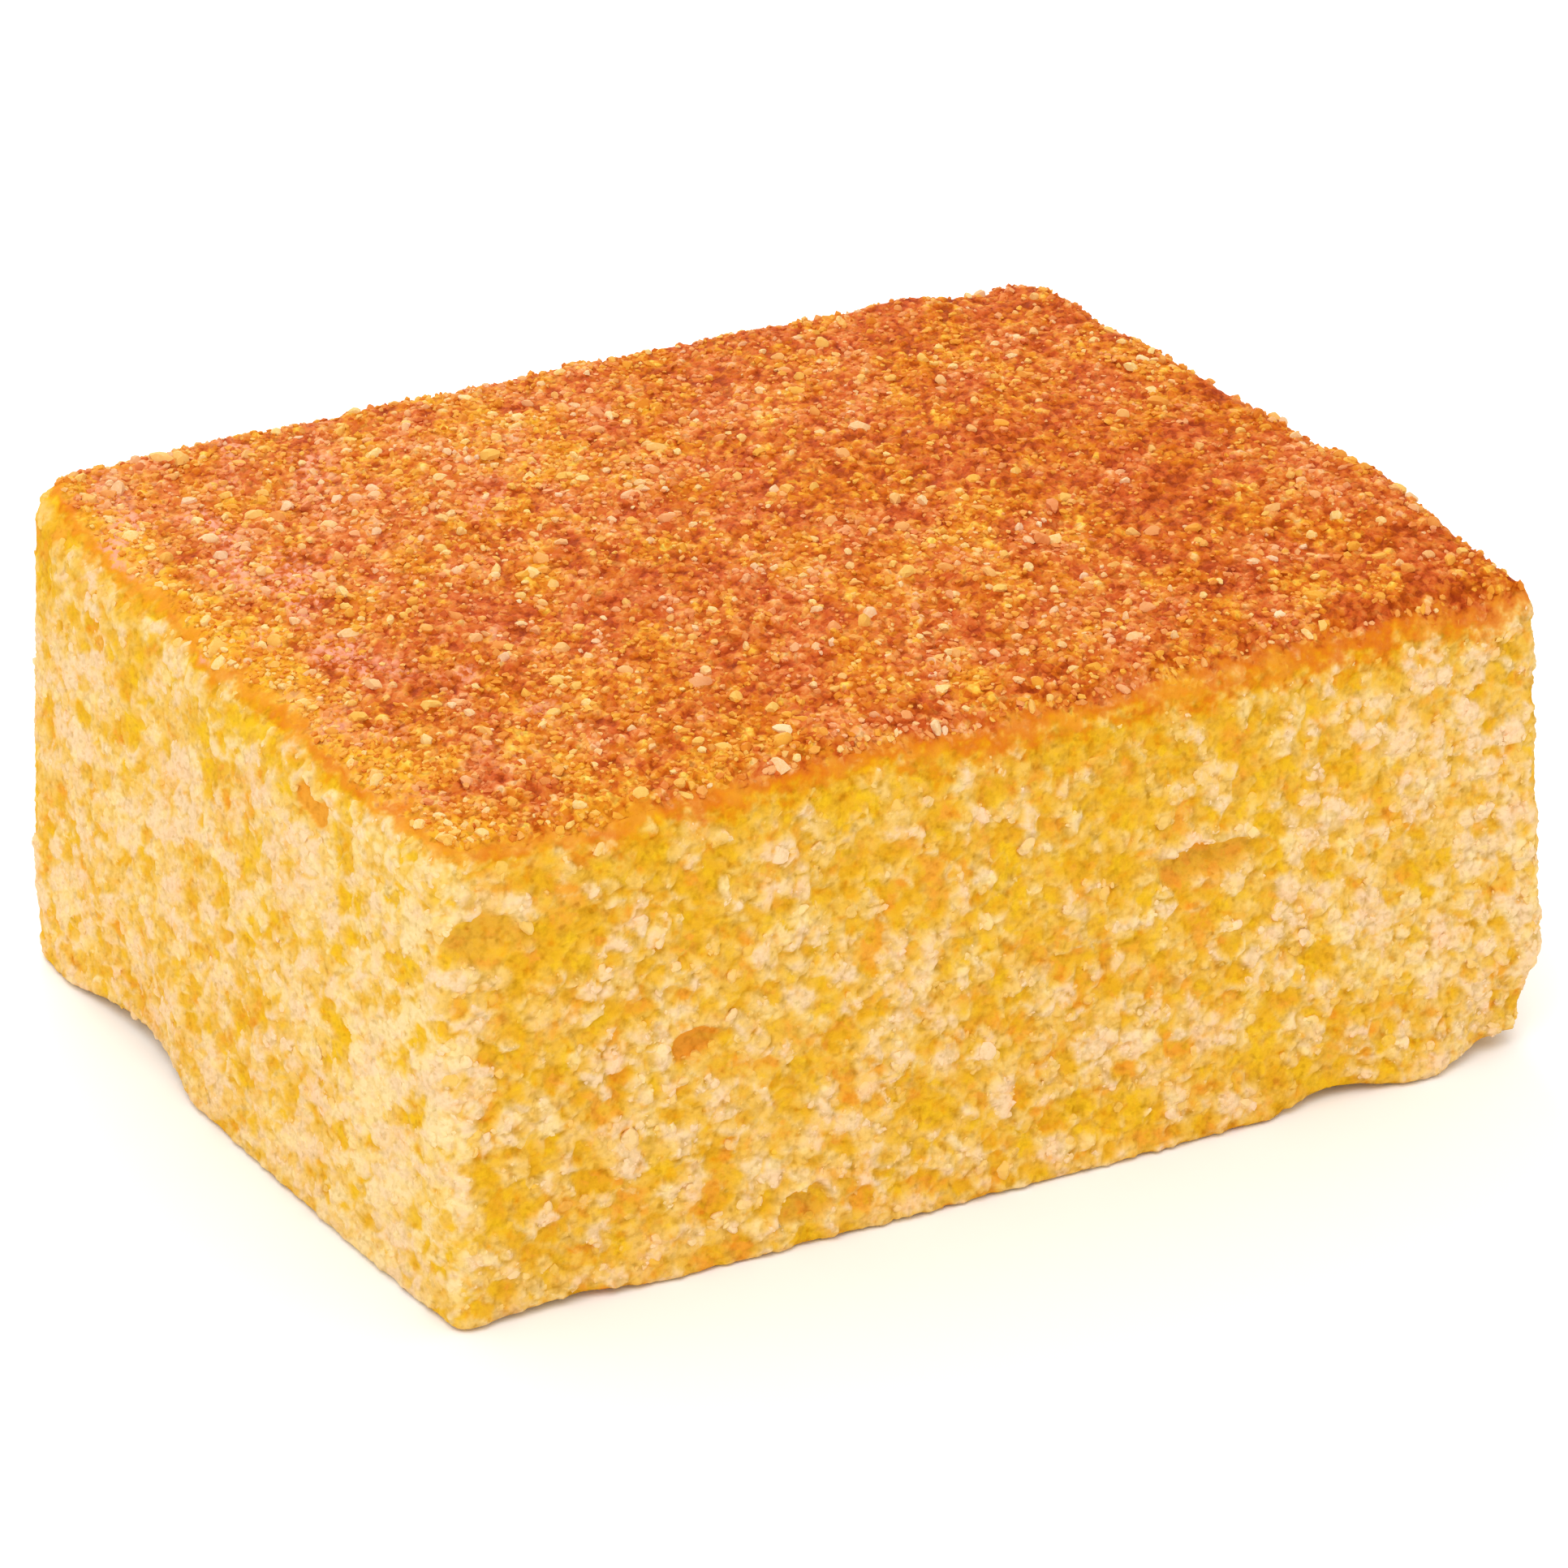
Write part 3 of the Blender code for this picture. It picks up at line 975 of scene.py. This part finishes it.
def grit_material(settings):
    """Cornmeal on the crust.

    Each grain has its own tone from burnt orange to near white, and leans to gold or to pink.
    """
    recipe = Recipe("cornmeal")
    speckle = recipe.noise(0.15 * MM)
    uneven = (recipe.tone("tone") + 0.2 * (speckle - 0.5)).clamped()
    pink = (
        (0.0, swatch(196, 84, 36)), (0.3, swatch(216, 120, 62)), (0.6, swatch(229, 156, 98)),
        (0.85, swatch(232, 178, 128)), (1.0, swatch(234, 208, 172)),
    )
    gold = (
        (0.0, swatch(202, 96, 24)), (0.3, swatch(220, 132, 34)), (0.6, swatch(230, 162, 52)),
        (0.85, swatch(235, 190, 98)), (1.0, swatch(238, 214, 160)),
    )
    grain = recipe.mix(recipe.tone("lean"), recipe.ramp(uneven, pink), recipe.ramp(uneven, gold))
    return recipe.finish(0.6, 0.1, Base_Color=grain)


# ---- operators


class CornbreadOperator(bpy.types.Operator):
    """Shared start of the operators."""

    bl_options = {"REGISTER", "UNDO"}

    def settings(self):
        return bpy.context.scene.cornbread

    def bread(self):
        """The material that all the slabs share."""
        return bpy.data.materials.get("baked_cornbread") or bread_material(self.settings())


class CORNBREAD_OT_cut_faces(CornbreadOperator):
    """Make the four cut faces with their open crumb."""

    bl_idname = "cornbread.cut_faces"
    bl_label = "Cut Faces"

    def execute(self, context):
        settings = self.settings()
        for name, axis, sign in CUT_FACES:
            slab(name, axis, sign, settings.crumb.cell, settings, self.bread())
        return {"FINISHED"}


class CORNBREAD_OT_crust(CornbreadOperator):
    """Make the browned crust."""

    bl_idname = "cornbread.crust"
    bl_label = "Crust"

    def execute(self, context):
        settings = self.settings()
        for name, span in (("crust_left", (0, 0.5)), ("crust_right", (0.5, 1))):
            slab(name, 2, 1, settings.crust.cell, settings, self.bread(), span)
        return {"FINISHED"}


class CORNBREAD_OT_underside(CornbreadOperator):
    """Make the flat underside."""

    bl_idname = "cornbread.underside"
    bl_label = "Underside"

    def execute(self, context):
        settings = self.settings()
        slab("underside", 2, -1, UNDERSIDE_CELL, settings, self.bread())
        return {"FINISHED"}


class CORNBREAD_OT_loose_crumbs(CornbreadOperator):
    """Set fine crumbs and lumps of crumb in the cut faces."""

    bl_idname = "cornbread.loose_crumbs"
    bl_label = "Loose Crumbs"

    def execute(self, context):
        settings = self.settings()
        grit = settings.grit
        material = crumb_material(settings)
        kinds = (
            ("crumbs_fine", grit.crumb_count, grit.crumb_size, 1, 7),
            ("crumb_lumps", grit.lump_count, grit.lump_size, 2, 11),
        )
        for name, count, width, rounds, seed in kinds:
            rng = np.random.default_rng(seed)
            point, out, tones = self.dry_places(settings, rng, count)
            across = width * np.minimum(rng.lognormal(0.0, 0.28, count), 1.7)
            size = across[:, None] * rng.uniform((0.8, 0.6, 0.45), (1.3, 1.0, 0.7), (count, 3))
            tone = np.clip(tones["tone"] + rng.normal(0.03, 0.05, count), 0.1, 1)
            sunk = point - 0.33 * size[:, 2:] * out
            kept = {"tone": tone, "warmth": tones["warmth"]}
            pebbles(name, sunk, out, size, rounds, rng, kept, material)
        return {"FINISHED"}

    @staticmethod
    def dry_places(settings, rng, count):
        """This many random places on the cut faces where the crumb is dry and unbaked."""
        tries = 4 * count
        cube = rng.uniform(-1, 1, (tries, 3))
        axis = (rng.random(tries) * (WIDTH + DEPTH) < WIDTH).astype(int)
        cube[np.arange(tries), axis] = rng.choice((-1.0, 1.0), tries)
        point, out, tones = finished_surface(cube, settings)
        fit = tones["tone"] > 0.3 + 0.35 * rng.random(tries)
        fit &= (tones["baked"] < 0.3) & (point[:, 2] > 1.0 * MM)
        chosen = np.flatnonzero(fit)[:count]
        if len(chosen) < count:
            raise RuntimeError(f"only {len(chosen)} of {count} places were dry")
        return point[chosen], out[chosen], {key: values[chosen] for key, values in tones.items()}


class CORNBREAD_OT_cornmeal(CornbreadOperator):
    """Sprinkle the crust with cornmeal, fine and coarse."""

    bl_idname = "cornbread.cornmeal"
    bl_label = "Cornmeal"

    def execute(self, context):
        settings = self.settings()
        material = grit_material(settings)
        grit = settings.grit
        kinds = (
            ("cornmeal_fine", grit.meal_count, grit.meal_size, 1, 0.48, 3),
            ("cornmeal_coarse", grit.grit_count, grit.grit_size, 2, 0.74, 5),
        )
        for name, count, width, rounds, mean, seed in kinds:
            rng = np.random.default_rng(seed)
            cube = rng.uniform(-1, 1, (3 * count, 3))
            cube[:, 2] = 1
            place, out = block_form(cube), way_out(cube)
            brown = browning(place, out)
            fit = rng.random(3 * count) < 1.25 - 1.3 * brown
            fit &= baked_share(place, cube, out) > 0.8
            chosen = np.flatnonzero(fit)[:count]
            point, out, tones = finished_surface(cube[chosen], settings)
            across = width * np.minimum(rng.lognormal(0.0, 0.3, count), 1.8)
            size = across[:, None] * rng.uniform((0.8, 0.6, 0.6), (1.4, 1.0, 1.0), (count, 3))
            tone = np.clip(rng.normal(mean, 0.2, count) + 0.3 * (0.5 - brown[chosen]), 0, 0.9)
            tone += 0.1 * (rng.random(count) < 0.02)
            lean = ramp(0.0, 0.8, tones["lean"] + rng.normal(0, 0.2, count))
            kept = {"tone": tone, "lean": lean}
            pebbles(name, point, out, size, rounds, rng, kept, material)
        return {"FINISHED"}


class CORNBREAD_OT_stage(CornbreadOperator):
    """Set the pale floor, the soft light and the camera."""

    bl_idname = "cornbread.stage"
    bl_label = "Stage"

    def execute(self, context):
        look = self.settings().stage
        make_floor(look)
        make_sky(look)
        make_lamps()
        make_camera(look)
        bpy.context.scene.view_settings.view_transform = "Standard"
        return {"FINISHED"}


def make_floor(look):
    """A plain pale floor, 3 m square, just under the block."""
    recipe = Recipe("pale_floor")
    recipe.finish(0.9, 0.0, Base_Color=tuple(look.floor))
    mesh = bpy.data.meshes.new("floor")
    reach, drop = 1.5, -0.05 * MM
    corners = [(x * reach, y * reach, drop) for x, y in ((-1, -1), (1, -1), (1, 1), (-1, 1))]
    mesh.from_pydata(corners, [], [(0, 1, 2, 3)])
    mesh.materials.append(recipe.material)
    placed("floor", mesh)


def make_sky(look):
    """Even white light from all round."""
    world = bpy.data.worlds.new("studio")
    world.use_nodes = True
    background = world.node_tree.nodes["Background"]
    background.inputs["Color"].default_value = (1.0, 1.0, 1.0, 1.0)
    background.inputs["Strength"].default_value = look.sky
    bpy.context.scene.world = world


def make_lamps():
    """Two soft square lamps that face the block."""
    # (name, place, width, power)
    lamps = (
        ("key_lamp", (-0.6, -0.83, 1.6), 1.2, 14.2),
        ("back_lamp", (0.08, 0.42, 0.26), 0.30, 1.1),
    )
    for name, place, width, power in lamps:
        light = bpy.data.lights.new(name, "AREA")
        light.size = width
        light.energy = power
        lamp = placed(name, light)
        lamp.location = place
        lamp.rotation_euler = (-Vector(place)).to_track_quat("-Z", "Y").to_euler()


def make_camera(look):
    """A long lens that looks down on the nearest corner."""
    flat, rise = math.cos(look.elevation), math.sin(look.elevation)
    back = Vector((math.sin(look.azimuth) * flat, -math.cos(look.azimuth) * flat, rise))
    aim = Vector((1.17 * MM, 0.0, 13.95 * MM))
    camera = placed("camera", bpy.data.cameras.new("camera"))
    camera.data.lens = look.lens
    camera.data.clip_start = 0.01
    camera.location = aim + back * look.distance
    camera.rotation_euler = back.to_track_quat("Z", "Y").to_euler()
    bpy.context.scene.camera = camera


class CORNBREAD_PT_panel(bpy.types.Panel):
    """Sidebar panel with the settings and one button for each step."""

    bl_label = "Cornbread Square"
    bl_idname = "CORNBREAD_PT_panel"
    bl_space_type = "VIEW_3D"
    bl_region_type = "UI"
    bl_category = "Cornbread"

    def draw(self, context):
        settings = context.scene.cornbread
        for group in (settings.crumb, settings.crust, settings.grit, settings.stage):
            box = self.layout.box()
            box.label(text=type(group).__doc__)
            for name in type(group).__annotations__:
                box.prop(group, name)
        for step in STEPS:
            self.layout.operator(step.bl_idname)


STEPS = (
    CORNBREAD_OT_cut_faces,
    CORNBREAD_OT_crust,
    CORNBREAD_OT_underside,
    CORNBREAD_OT_loose_crumbs,
    CORNBREAD_OT_cornmeal,
    CORNBREAD_OT_stage,
)
CLASSES = (CrumbLook, CrustLook, GritLook, StageLook, CornbreadSettings, *STEPS, CORNBREAD_PT_panel)


def register():
    """Registers the classes and hangs the settings on the scene."""
    for each in CLASSES:
        bpy.utils.register_class(each)
    bpy.types.Scene.cornbread = PointerProperty(type=CornbreadSettings)


def unregister():
    """Takes the settings and the classes away again."""
    del bpy.types.Scene.cornbread
    for each in reversed(CLASSES):
        bpy.utils.unregister_class(each)


def main():
    """Makes every piece and the stage."""
    register()
    bpy.ops.cornbread.cut_faces()
    bpy.ops.cornbread.crust()
    bpy.ops.cornbread.underside()
    bpy.ops.cornbread.loose_crumbs()
    bpy.ops.cornbread.cornmeal()
    bpy.ops.cornbread.stage()


if __name__ == "__main__":
    main()
